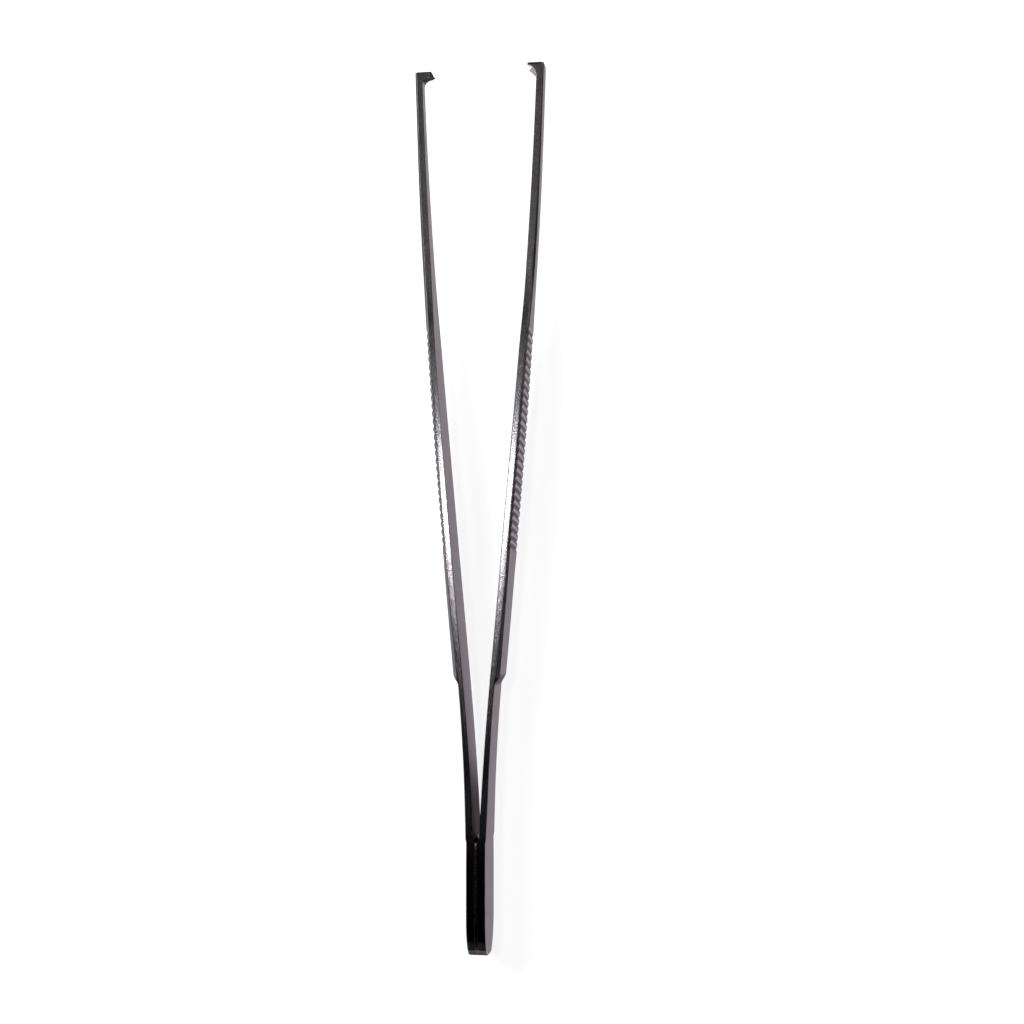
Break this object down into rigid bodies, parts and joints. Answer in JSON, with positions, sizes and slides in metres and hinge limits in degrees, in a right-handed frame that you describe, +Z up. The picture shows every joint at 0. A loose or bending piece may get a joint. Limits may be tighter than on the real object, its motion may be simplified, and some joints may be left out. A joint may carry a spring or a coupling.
{
  "type": "aquascaping tweezers",
  "caption": "Slim spring tweezers with serrated grips and hooked rat-tooth jaws, for planting and trimming under water.",
  "frame": {"origin": "bottom centre of the tool's box, as it lies on its edge", "axes": "+Y from the welded butt to the tips, +X the way the right arm opens, +Z up across the width of the arms"},
  "size_m": [0.024, 0.16, 0.009],
  "materials": {
    "satin_steel": "satin stainless steel, finely grained on the narrow edges",
    "weld_metal": "ground weld metal"
  },
  "bodies": {
    "butt": {"butt_half_left": "satin_steel", "butt_half_right": "satin_steel", "butt_weld": "weld_metal"},
    "left_arm": {"arm_left": "satin_steel"},
    "right_arm": {"arm_right": "satin_steel"}
  },
  "joints": [
    {"name": "left_arm_flex", "type": "hinge", "parent": "butt", "child": "left_arm", "pos_m": [-0.00178, -0.0472, 0.0045], "axis": [0, 0, -1], "range_deg": [0, 3.9], "stiffness_Nm_per_rad": 2.5},
    {"name": "right_arm_flex", "type": "hinge", "parent": "butt", "child": "right_arm", "pos_m": [0.00178, -0.0472, 0.0045], "axis": [0, 0, 1], "range_deg": [0, 3.9], "stiffness_Nm_per_rad": 2.5}
  ]
}
